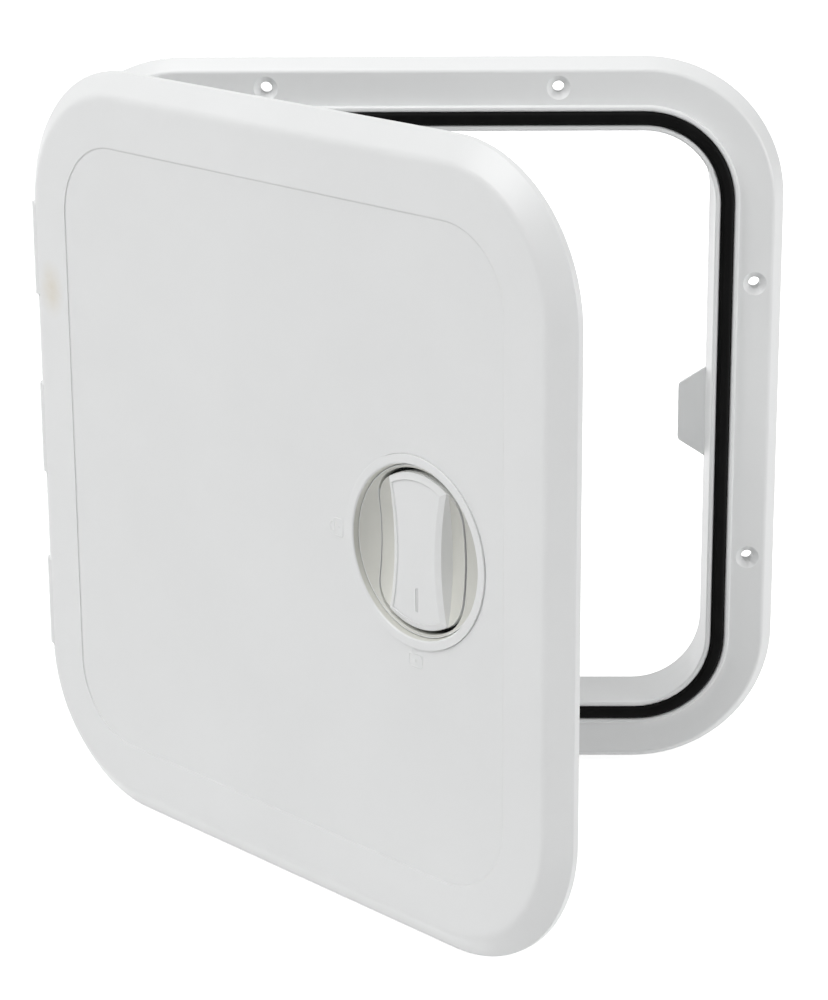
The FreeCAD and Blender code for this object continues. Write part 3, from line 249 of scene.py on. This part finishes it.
def panel_foot_height(tree, coordinates, sizes):
    """Height of the fillet at the foot of the step round the lid's panel."""
    points = [LID_INVERSE @ corner.co for corner in frame["nodes"]["lid"].data.vertices]
    points = [point for point in points if abs(-point.y - FACE + sizes.panel_depth) < POINT_ON_PLANE]
    low = Vector([min(point[i] for point in points) for i in range(3)])
    high = Vector([max(point[i] for point in points) for i in range(3)])
    place = add(tree, "ShaderNodeVectorMath", {"operation": "ABSOLUTE"},
                {0: on_lid_face(tree, coordinates, LID @ ((low + high) / 2))})
    corner = (high - low) / 2 - Vector((1.0, 0.0, 1.0)) * sizes.panel_corner
    past = add(tree, "ShaderNodeVectorMath", {"operation": "SUBTRACT", 1: corner},
               {0: place.outputs["Vector"]})
    past = add(tree, "ShaderNodeVectorMath", {"operation": "MAXIMUM", 1: (0.0, 0.0, 0.0)},
               {0: past.outputs["Vector"]})
    reach = add(tree, "ShaderNodeVectorMath", {"operation": "LENGTH"}, {0: past.outputs["Vector"]})
    rise = add(tree, "ShaderNodeMapRange",
               {"From Min": sizes.panel_corner - sizes.panel_foot, "From Max": sizes.panel_corner,
                "To Max": sizes.panel_depth}, {"Value": reach.outputs["Value"]})
    return rise.outputs["Result"]


def moulded_asa(name, colour, grain, depth, roughness, marks=(), form=None):
    """Injection moulded ASA: a satin skin from an etched mould, white right through, with a faint
    cloudiness. The grain is drawn coarser than a real mould's, so that it shows. marks are (place,
    radii, colour, strength) of dirt that the object carries. form gives the height of a soft form in
    the face."""
    material, tree, coordinates, output = new_material(name)
    cloud = add(tree, "ShaderNodeTexNoise", {"Scale": 1 / CLOUD_SIZE, "Detail": 2.0},
                {"Vector": coordinates})
    tone = add(tree, "ShaderNodeMapRange",
               {"From Min": 0.3, "From Max": 0.7, "To Min": CLOUD_TONE, "To Max": 1.0},
               {"Value": cloud.outputs["Fac"]})
    base = add(tree, "ShaderNodeMix",
               {"data_type": "RGBA", "blend_type": "MULTIPLY", "Factor": 1.0, 6: colour},
               {7: tone.outputs["Result"]}).outputs[2]
    for place, radii, dirt, strength in marks:
        patch = spot(tree, coordinates, place, radii)
        broken = add(tree, "ShaderNodeTexNoise", {"Scale": 1 / (min(radii) * 0.8), "Detail": 4.0},
                     {"Vector": coordinates})
        product = add(tree, "ShaderNodeMath", {"operation": "MULTIPLY"},
                      {0: patch, 1: broken.outputs["Fac"]})
        amount = add(tree, "ShaderNodeMath", {"operation": "MULTIPLY", "use_clamp": True, 1: 2 * strength},
                     {0: product.outputs["Value"]})
        base = add(tree, "ShaderNodeMix", {"data_type": "RGBA", 7: dirt},
                   {"Factor": amount.outputs["Value"], 6: base}).outputs[2]
    skin = add(tree, "ShaderNodeTexNoise", {"Scale": 1 / grain, "Detail": 3.0, "Roughness": 0.6},
               {"Vector": coordinates})
    bump = add(tree, "ShaderNodeBump", {"Strength": 0.6, "Distance": depth},
               {"Height": skin.outputs["Fac"]})
    if form:
        lean = add(tree, "ShaderNodeBump", {"Strength": 1.0, "Distance": 1.0},
                   {"Height": form(tree, coordinates)})
        tree.links.new(lean.outputs["Normal"], bump.inputs["Normal"])
    gloss = add(tree, "ShaderNodeMapRange", {"To Min": roughness - 0.05, "To Max": roughness + 0.05},
                {"Value": cloud.outputs["Fac"]})
    shader = add(tree, "ShaderNodeBsdfPrincipled", {"IOR": 1.49},
                 {"Base Color": base, "Roughness": gloss.outputs["Result"],
                  "Normal": bump.outputs["Normal"]})
    tree.links.new(shader.outputs["BSDF"], output.inputs["Surface"])
    return material


def smooth_epdm(name, colour):
    """Extruded EPDM rubber: near black with a soft sheen and a faint grey bloom. Its gloss is held
    low, because the white surroundings would turn it grey."""
    material, tree, coordinates, output = new_material(name)
    bloom = add(tree, "ShaderNodeTexNoise", {"Scale": 1 / BLOOM_SIZE, "Detail": 4.0},
                {"Vector": coordinates})
    grey = tuple(min(1.0, c * 2.2 + 0.004) for c in colour[:3]) + (1.0,)
    base = add(tree, "ShaderNodeMix", {"data_type": "RGBA", 6: colour, 7: grey},
               {"Factor": bloom.outputs["Fac"]}).outputs[2]
    skin = add(tree, "ShaderNodeTexNoise", {"Scale": 1 / RUBBER_GRAIN, "Detail": 2.0},
               {"Vector": coordinates})
    bump = add(tree, "ShaderNodeBump", {"Strength": 0.5, "Distance": FINE_BUMP},
               {"Height": skin.outputs["Fac"]})
    gloss = add(tree, "ShaderNodeMapRange", {"To Min": 0.42, "To Max": 0.56},
                {"Value": bloom.outputs["Fac"]})
    shader = add(tree, "ShaderNodeBsdfPrincipled", {"IOR": 1.52, "Specular IOR Level": 0.04},
                 {"Base Color": base, "Roughness": gloss.outputs["Result"],
                  "Normal": bump.outputs["Normal"]})
    tree.links.new(shader.outputs["BSDF"], output.inputs["Surface"])
    return material


def turned_stainless(name, colour):
    """Turned and passivated stainless steel: fine tool lines and a slightly uneven grey."""
    material, tree, coordinates, output = new_material(name)
    patches = add(tree, "ShaderNodeTexNoise", {"Scale": 1 / STEEL_PATCH, "Detail": 3.0},
                  {"Vector": coordinates})
    tone = add(tree, "ShaderNodeMapRange", {"To Min": 0.88, "To Max": 1.0},
               {"Value": patches.outputs["Fac"]})
    base = add(tree, "ShaderNodeMix",
               {"data_type": "RGBA", "blend_type": "MULTIPLY", "Factor": 1.0, 6: colour},
               {7: tone.outputs["Result"]}).outputs[2]
    lines = add(tree, "ShaderNodeTexWave",
                {"wave_type": "BANDS", "bands_direction": "Z", "Scale": 1 / TOOL_LINE, "Distortion": 1.5},
                {"Vector": coordinates})
    bump = add(tree, "ShaderNodeBump", {"Strength": 0.4, "Distance": FINE_BUMP},
               {"Height": lines.outputs["Fac"]})
    gloss = add(tree, "ShaderNodeMapRange", {"To Min": 0.24, "To Max": 0.36},
                {"Value": patches.outputs["Fac"]})
    shader = add(tree, "ShaderNodeBsdfPrincipled", {"Metallic": 1.0},
                 {"Base Color": base, "Roughness": gloss.outputs["Result"],
                  "Normal": bump.outputs["Normal"]})
    tree.links.new(shader.outputs["BSDF"], output.inputs["Surface"])
    return material


def named_material(name):
    """The material of that name, made on first use."""
    if name in bpy.data.materials:
        return bpy.data.materials[name]
    sizes = bpy.context.scene.hatch_sizes
    colours = bpy.context.scene.hatch_colours
    asa = linear(colours.asa)
    smudge = (on_lid(17 * MM, FACE, 76 * MM), (11 * MM, 11 * MM, 16 * MM),
              linear(colours.smudge), 0.7)
    speck = (on_lid(372 * MM, 2 * MM, -112 * MM), (0.9 * MM, 0.9 * MM, 0.7 * MM),
             linear(colours.speck), 0.9)
    bowl_radius = WELL_LEAN * sizes.dish_radius
    makers = {
        "asa_satin_white": lambda: moulded_asa(
            name, asa, sizes.satin_grain, SATIN_DEPTH, SATIN_ROUGHNESS),
        "asa_lid_white": lambda: moulded_asa(
            name, asa, sizes.satin_grain, SATIN_DEPTH, SATIN_ROUGHNESS, marks=(smudge, speck)),
        "asa_grained_white": lambda: moulded_asa(
            name, asa, sizes.panel_grain, PANEL_DEPTH, PANEL_ROUGHNESS,
            form=lambda tree, coordinates: panel_foot_height(tree, coordinates, sizes)),
        # The finger wells: a darker olive white that is painted shade in the recess, and a bump that leans
        # the light
        "asa_wells_painted_shade": lambda: moulded_asa(
            name, linear(colours.asa_wells_shade_tone), sizes.satin_grain, SATIN_DEPTH, DISH_ROUGHNESS,
            form=lambda tree, coordinates: bowl_height(tree, coordinates, bowl_radius)),
        "epdm_black": lambda: smooth_epdm(name, linear(colours.rubber)),
        "stainless_turned": lambda: turned_stainless(name, linear(colours.steel)),
    }
    return makers[name]()


def paint_node(node, material_name):
    """Give a CAD node that stays in view its procedural material."""
    item = frame["nodes"][node]
    item.data.materials.clear()
    item.data.materials.append(named_material(material_name))


# Corners of a CAD mesh this near to each other are one, and triangles this level are one face
SAME_CORNER = 0.002 * MM
SAME_FACE_ANGLE = math.radians(0.4)
# Edges past this angle, in degrees, stay sharp in the shading
LARGEST_SMOOTH_ANGLE = 40


def rounded_copy(node, material_name, width, sharp=25):
    """A copy of a CAD node with its triangles merged and its edges past an angle rounded."""
    mesh = frame["nodes"][node].data.copy()
    mesh.name = node + "_finish"
    work = bmesh.new()
    work.from_mesh(mesh)
    bmesh.ops.remove_doubles(work, verts=work.verts, dist=SAME_CORNER)
    bmesh.ops.dissolve_limit(work, angle_limit=SAME_FACE_ANGLE, verts=work.verts, edges=work.edges)
    work.to_mesh(mesh)
    work.free()
    mesh.materials.clear()
    mesh.materials.append(named_material(material_name))
    piece = bpy.data.objects.new(node + "_finish", mesh)
    bpy.context.scene.collection.objects.link(piece)
    bevel = piece.modifiers.new("edge rounding", "BEVEL")
    bevel.width = width
    bevel.segments = 2
    bevel.limit_method = "ANGLE"
    bevel.angle_limit = math.radians(sharp)
    bake(piece)
    piece.data.shade_smooth()
    piece.data.set_sharp_from_angle(angle=math.radians(min(LARGEST_SMOOTH_ANGLE, 1.5 * sharp)))
    weighted = piece.modifiers.new("face normals", "WEIGHTED_NORMAL")
    weighted.keep_sharp = True
    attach(piece, frame["nodes"][node]["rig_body"])
    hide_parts(node)
    return piece


def bake(piece):
    """Turn the evaluated result of the modifiers into the piece's own mesh."""
    bpy.context.view_layer.update()
    graph = bpy.context.evaluated_depsgraph_get()
    mesh = bpy.data.meshes.new_from_object(piece.evaluated_get(graph))
    mesh.name = piece.name
    piece.modifiers.clear()
    piece.data = mesh


class HATCH_OT_frame(bpy.types.Operator):
    """Finish the flange, lip, collar, striker and hinge knuckles, and the gasket"""
    bl_idname = "hatch.frame"
    bl_label = "Frame and gasket"

    def execute(self, context):
        sizes = context.scene.hatch_sizes
        rounded_copy("frame", "asa_satin_white", sizes.edge_round)
        rounded_copy("frame_gasket", "epdm_black", sizes.fine_round)
        return {"FINISHED"}


class HATCH_OT_lid(bpy.types.Operator):
    """Finish the lid, with a grained skin on its recessed panel"""
    bl_idname = "hatch.lid"
    bl_label = "Lid"

    def execute(self, context):
        sizes = context.scene.hatch_sizes
        lid = rounded_copy("lid", "asa_lid_white", sizes.edge_round)
        lid.data.materials.append(named_material("asa_grained_white"))
        plane = FACE - sizes.panel_depth
        for face in lid.data.polygons:
            centre = LID_INVERSE @ face.center
            outward = -(LID_INVERSE.to_3x3() @ face.normal).y
            if abs(-centre.y - plane) < FACE_ON_PLANE and outward > PANEL_OUTWARD:
                face.material_index = 1
        return {"FINISHED"}


def sink_flat(mesh, width, depth):
    """Sink the flat of the grip a little inside its border."""
    data = bmesh.new()
    data.from_mesh(mesh)
    outward = LID.to_3x3() @ Vector((0, -1, 0))
    top = max(corner.co.dot(outward) for corner in data.verts)
    flat = [face for face in data.faces if face.normal.dot(outward) > FLAT_OUTWARD
            and face.calc_center_median().dot(outward) > top - FACE_ON_PLANE]
    bmesh.ops.inset_region(data, faces=flat, thickness=width, depth=-depth, use_even_offset=True)
    data.to_mesh(mesh)
    data.free()


# How deep in the lid's face the dish of the finger wells starts, and how deep the wall round it, where the
# wells' painted shade begins
DISH_START = 2 * MM
WALL_START = 0.3 * MM
# The wall stands at least this far from the latch axis
WALL_REACH = 36 * MM
# A face of the dish leans as the ball does, give or take this slope
DISH_SLOPE_PLAY = 0.06


def paint_wells_shade(mesh, radius):
    """Give the finger wells the second material, a darker olive tone that is painted shade: the faces on
    the dish, which is a ball in front of the latch, and on the wall round it."""
    for face in mesh.polygons:
        local = LID_INVERSE @ face.center
        outward = LID_INVERSE.to_3x3() @ face.normal
        depth = FACE + local.y
        flat = Vector((local.x - LATCH_REACH, 0.0, local.z))
        slope = Vector((outward.x, 0.0, outward.z))
        like_ball = -outward.y > DISH_OUTWARD and (slope + flat / radius).length < DISH_SLOPE_PLAY
        like_wall = abs(outward.y) < WALL_OUTWARD and slope.dot(flat) < 0 and flat.length > WALL_REACH
        if like_ball and depth > DISH_START or like_wall and depth > WALL_START:
            face.material_index = 1


class HATCH_OT_latch(bpy.types.Operator):
    """Finish the latch cup, dial, grip and cam, with painted shade in the finger wells, and the seals
    between them: the shaft's o-ring, and the grip seal, a black sheet that is painted shade in the gap
    round the grip
    """
    bl_idname = "hatch.latch"
    bl_label = "Latch"

    def execute(self, context):
        sizes = context.scene.hatch_sizes
        for node in ("latch_housing", "latch_dial", "latch_handle", "latch_cam"):
            piece = rounded_copy(node, "asa_satin_white", sizes.fine_round, sharp=12)
            if node == "latch_handle":
                sink_flat(piece.data, sizes.flat_step, sizes.flat_sink)
            if node != "latch_cam":
                # The finger wells get the darker olive material, which is painted shade in the recess
                piece.data.materials.append(named_material("asa_wells_painted_shade"))
                paint_wells_shade(piece.data, sizes.dish_radius)
        rounded_copy("housing_ring_nut", "asa_satin_white", sizes.edge_round)
        # The grip seal is a black sheet under the grip's edge, which is painted shade in the gap round it
        for node in ("grip_seal", "shaft_o_ring"):
            paint_node(node, "epdm_black")
        return {"FINISHED"}


class HATCH_OT_metal(bpy.types.Operator):
    """Give the pins, washers and screw their turned steel"""
    bl_idname = "hatch.metal"
    bl_label = "Metal parts"

    def execute(self, context):
        for node in ("hinge_pin_upper", "hinge_pin_middle", "hinge_pin_lower", "spring_washer"):
            paint_node(node, "stainless_turned")
        for node in ("cam_washer", "cam_screw"):
            rounded_copy(node, "stainless_turned", context.scene.hatch_sizes.fine_round / 2)
        return {"FINISHED"}


def raised_line_tree(radius, finish):
    """Geometry nodes that turn drawn paths into a raised round line."""
    tree = bpy.data.node_groups.new("raised line", "GeometryNodeTree")
    tree.interface.new_socket("Paths", in_out="INPUT", socket_type="NodeSocketGeometry")
    width = tree.interface.new_socket("Line radius", in_out="INPUT", socket_type="NodeSocketFloat")
    width.default_value = radius
    tree.interface.new_socket("Mesh", in_out="OUTPUT", socket_type="NodeSocketGeometry")
    inputs = add(tree, "NodeGroupInput")
    profile = add(tree, "GeometryNodeCurvePrimitiveCircle", {"Resolution": 12},
                  {"Radius": inputs.outputs["Line radius"]})
    line = add(tree, "GeometryNodeCurveToMesh", {"Fill Caps": True},
               {"Curve": inputs.outputs["Paths"], "Profile Curve": profile.outputs["Curve"]})
    real = add(tree, "GeometryNodeRealizeInstances", {}, {"Geometry": line.outputs["Mesh"]})
    painted = add(tree, "GeometryNodeSetMaterial", {"Material": finish},
                  {"Geometry": real.outputs["Geometry"]})
    add(tree, "NodeGroupOutput", {}, {"Mesh": painted.outputs["Geometry"]})
    return tree, width.identifier


# A padlock mark's form: shares of its width, then shares of its body's height
BODY_HEIGHT = 0.72
BODY_CORNER = 0.14
SHACKLE_REACH = 0.27
CLOSED_LIFT = 0.12
OPEN_LIFT = 0.45
KEYHOLE_FOOT = -0.12
KEYHOLE_TOP = 0.1


def padlock_paths(curve, place, turn, width, is_open):
    """Draw a padlock's body, shackle and keyhole. place is its centre from the latch axis and turn
    its lean, both in the lid's face."""
    half, height = width / 2, width * BODY_HEIGHT
    corner = width * BODY_CORNER
    body = []
    for x, y, first in ((half, height / 2, 0), (-half, height / 2, 90), (-half, -height / 2, 180),
                        (half, -height / 2, 270)):
        centre = Vector((x - math.copysign(corner, x), y - math.copysign(corner, y)))
        for step in range(4):
            angle = math.radians(first + 30 * step)
            body.append(centre + corner * Vector((math.cos(angle), math.sin(angle))))
    reach = width * SHACKLE_REACH
    lift = height * (OPEN_LIFT if is_open else CLOSED_LIFT)
    foot = height / 2
    shackle = [] if is_open else [Vector((reach, foot))]
    bend = [math.radians(degrees) for degrees in range(0, 181, 15)]
    shackle += [Vector((reach * math.cos(a), foot + lift + reach * math.sin(a))) for a in bend]
    shackle.append(Vector((-reach, foot)))
    keyhole = [Vector((0, height * KEYHOLE_FOOT)), Vector((0, height * KEYHOLE_TOP))]
    lean = Matrix.Rotation(turn, 2)
    for points, closed in ((body, True), (shackle, False), (keyhole, False)):
        spline = curve.splines.new("POLY")
        spline.points.add(len(points) - 1)
        for point, flat in zip(spline.points, points):
            x, y = place + lean @ flat
            point.co = (*on_lid(LATCH_REACH + x, FACE, y), 1.0)
        spline.use_cyclic_u = closed


class HATCH_OT_marks(bpy.types.Operator):
    """Raise the closed and open padlock marks beside the latch"""
    bl_idname = "hatch.marks"
    bl_label = "Padlock marks"

    def execute(self, context):
        sizes = context.scene.hatch_sizes
        radius = sizes.mark_line / 2
        curve = bpy.data.curves.new("padlock_paths", "CURVE")
        curve.dimensions = "3D"
        padlock_paths(curve, Vector((-sizes.mark_distance, 0)), math.radians(90), sizes.mark_width, False)
        padlock_paths(curve, Vector((0, -sizes.mark_distance)), 0.0, sizes.mark_width, True)
        sink = sizes.panel_depth + radius - sizes.mark_rise
        shift = LID.to_3x3() @ Vector((0, sink, 0))
        for spline in curve.splines:
            for point in spline.points:
                point.co = (*(Vector(point.co[:3]) + shift), 1.0)
        marks = bpy.data.objects.new("padlock_marks", curve)
        context.scene.collection.objects.link(marks)
        tree, width_input = raised_line_tree(radius, named_material("asa_lid_white"))
        modifier = marks.modifiers.new("raised line", "NODES")
        modifier.node_group = tree
        modifier[width_input] = radius
        context.view_layer.update()
        mesh = bpy.data.meshes.new_from_object(marks.evaluated_get(context.evaluated_depsgraph_get()))
        bpy.data.objects.remove(marks)
        if not mesh.polygons:
            raise RuntimeError("the padlock marks came out empty")
        mesh.shade_smooth()
        piece = bpy.data.objects.new("padlock_marks", mesh)
        context.scene.collection.objects.link(piece)
        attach(piece, "lid")
        return {"FINISHED"}


STAGE_CENTRE = Vector((0.0, -0.1, 0.0))
# The floor's half side, and how far it lies below the hatch
FLOOR_REACH = 30.0
FLOOR_GAP = 1 * MM
# The floor's own glow, which falls from 1 to this at the hatch, within this radius
NEAR_GLOW = 0.74
NEAR_RADIUS = 1.4
WORLD_STRENGTH = 0.12
# Name, direction from the hatch, distance and side in metres, power in watts
LAMPS = (
    ("key_upper_left", (-0.55, -0.31, 0.775), 4.0, 2.2, 95),
    ("side_right", (0.92, -0.38, 0.08), 4.0, 2.2, 96),
    ("overhead", (-0.1, 0.05, 0.99), 4.0, 2.2, 56),
)


def area_light(name, place, aim, size, power):
    """A square lamp at a place, turned to its aim."""
    lamp = bpy.data.lights.new(name, "AREA")
    lamp.shape = "SQUARE"
    lamp.size = size
    lamp.energy = power
    item = bpy.data.objects.new(name, lamp)
    item.location = place
    item.rotation_euler = (Vector(aim) - Vector(place)).to_track_quat("-Z", "Y").to_euler()
    bpy.context.scene.collection.objects.link(item)


def rays_that_see_white(tree):
    """1 for camera, glossy and transmission rays, which see the white backdrop."""
    path = add(tree, "ShaderNodeLightPath")
    bright = path.outputs["Is Camera Ray"]
    for name in ("Is Glossy Ray", "Is Transmission Ray"):
        bright = add(tree, "ShaderNodeMath", {"operation": "MAXIMUM"},
                     {0: bright, 1: path.outputs[name]}).outputs["Value"]
    return bright


def white_world(strength):
    """White surroundings that light the hatch with a strength and show as plain white."""
    world = bpy.data.worlds.new("studio")
    world.use_nodes = True
    tree = world.node_tree
    tree.nodes.clear()
    level = add(tree, "ShaderNodeMapRange", {"To Min": strength, "To Max": 1.0},
                {"Value": rays_that_see_white(tree)})
    background = add(tree, "ShaderNodeBackground", {"Color": (1.0, 1.0, 1.0, 1.0)},
                     {"Strength": level.outputs["Result"]})
    output = add(tree, "ShaderNodeOutputWorld")
    tree.links.new(background.outputs["Background"], output.inputs["Surface"])
    bpy.context.scene.world = world


def pale_floor(height):
    """A wide white floor that lifts to white for the camera and keeps the object's shadow."""
    mesh = bpy.data.meshes.new("floor")
    side = FLOOR_REACH
    corners = [(-side, -side, height), (side, -side, height), (side, side, height), (-side, side, height)]
    mesh.from_pydata(corners, [], [(0, 1, 2, 3)])
    floor = bpy.data.objects.new("floor", mesh)
    bpy.context.scene.collection.objects.link(floor)
    material, tree, coordinates, output = new_material("painted_floor_white")
    mottle = add(tree, "ShaderNodeTexNoise", {"Scale": 4.0}, {"Vector": coordinates})
    tone = add(tree, "ShaderNodeMapRange", {"To Min": 0.86, "To Max": 0.9},
               {"Value": mottle.outputs["Fac"]})
    matt = add(tree, "ShaderNodeBsdfDiffuse", {}, {"Color": tone.outputs["Result"]})
    near = spot(tree, coordinates, (*STAGE_CENTRE.xy, height), (NEAR_RADIUS, NEAR_RADIUS, NEAR_RADIUS))
    glow = add(tree, "ShaderNodeMapRange", {"To Min": 1.0, "To Max": NEAR_GLOW}, {"Value": near})
    lift = add(tree, "ShaderNodeMath", {"operation": "MULTIPLY"},
               {0: rays_that_see_white(tree), 1: glow.outputs["Result"]})
    shine = add(tree, "ShaderNodeEmission", {"Color": (1.0, 1.0, 1.0, 1.0)},
                {"Strength": lift.outputs["Value"]})
    both = add(tree, "ShaderNodeAddShader", {}, {0: matt.outputs["BSDF"], 1: shine.outputs["Emission"]})
    tree.links.new(both.outputs["Shader"], output.inputs["Surface"])
    mesh.materials.append(material)


def photo_camera():
    """The photograph's view, worked out from the outlines of frame and lid."""
    place = Vector((24.8, -1509.4, 422.2)) * MM
    yaw, pitch, roll = (math.radians(angle) for angle in (-0.961, 17.187, -0.365))
    focal_pixels, long_side_pixels, sensor = 3022.7, 1000, 36.0
    flat = math.cos(pitch)
    forward = Vector((math.sin(yaw) * flat, math.cos(yaw) * flat, -math.sin(pitch)))
    level = Vector((math.cos(yaw), -math.sin(yaw), 0.0))
    upright = level.cross(forward)
    right = level * math.cos(roll) + upright * math.sin(roll)
    upward = upright * math.cos(roll) - level * math.sin(roll)
    data = bpy.data.cameras.new("photo_view")
    data.sensor_width = sensor
    data.lens = focal_pixels / long_side_pixels * sensor
    camera = bpy.data.objects.new("photo_view", data)
    turn = Matrix((right, upward, -forward)).transposed().to_4x4()
    camera.matrix_world = Matrix.Translation(place) @ turn
    bpy.context.scene.collection.objects.link(camera)
    bpy.context.scene.camera = camera


class HATCH_OT_stage(bpy.types.Operator):
    """Make the white floor, the studio light and the photograph's camera"""
    bl_idname = "hatch.stage"
    bl_label = "Stage"

    def execute(self, context):
        context.scene.view_settings.view_transform = "Standard"
        lowest = CAD_BOX[0][2]
        pale_floor(lowest - FLOOR_GAP)
        white_world(WORLD_STRENGTH)
        for name, direction, distance, size, power in LAMPS:
            place = STAGE_CENTRE + distance * Vector(direction).normalized()
            area_light(name, place, STAGE_CENTRE, size, power)
        photo_camera()
        return {"FINISHED"}


OPERATORS = (HATCH_OT_frame, HATCH_OT_lid, HATCH_OT_latch, HATCH_OT_metal,
             HATCH_OT_marks, HATCH_OT_stage)


class HATCH_PT_panel(bpy.types.Panel):
    bl_label = "Hatch"
    bl_idname = "HATCH_PT_panel"
    bl_space_type = "VIEW_3D"
    bl_region_type = "UI"
    bl_category = "Hatch"

    def draw(self, context):
        for group in (context.scene.hatch_sizes, context.scene.hatch_colours):
            for name in group.bl_rna.properties.keys():
                if name not in ("rna_type", "name"):
                    self.layout.prop(group, name)
        for operator in OPERATORS:
            self.layout.operator(operator.bl_idname)


CLASSES = (HatchSizes, HatchColours, *OPERATORS, HATCH_PT_panel)


def register():
    for kind in CLASSES:
        bpy.utils.register_class(kind)
    bpy.types.Scene.hatch_sizes = bpy.props.PointerProperty(type=HatchSizes)
    bpy.types.Scene.hatch_colours = bpy.props.PointerProperty(type=HatchColours)


def unregister():
    del bpy.types.Scene.hatch_colours
    del bpy.types.Scene.hatch_sizes
    for kind in reversed(CLASSES):
        bpy.utils.unregister_class(kind)


def main():
    register()
    for operator in OPERATORS:
        group, name = operator.bl_idname.split(".")
        getattr(getattr(bpy.ops, group), name)()


if __name__ == "__main__":
    main()
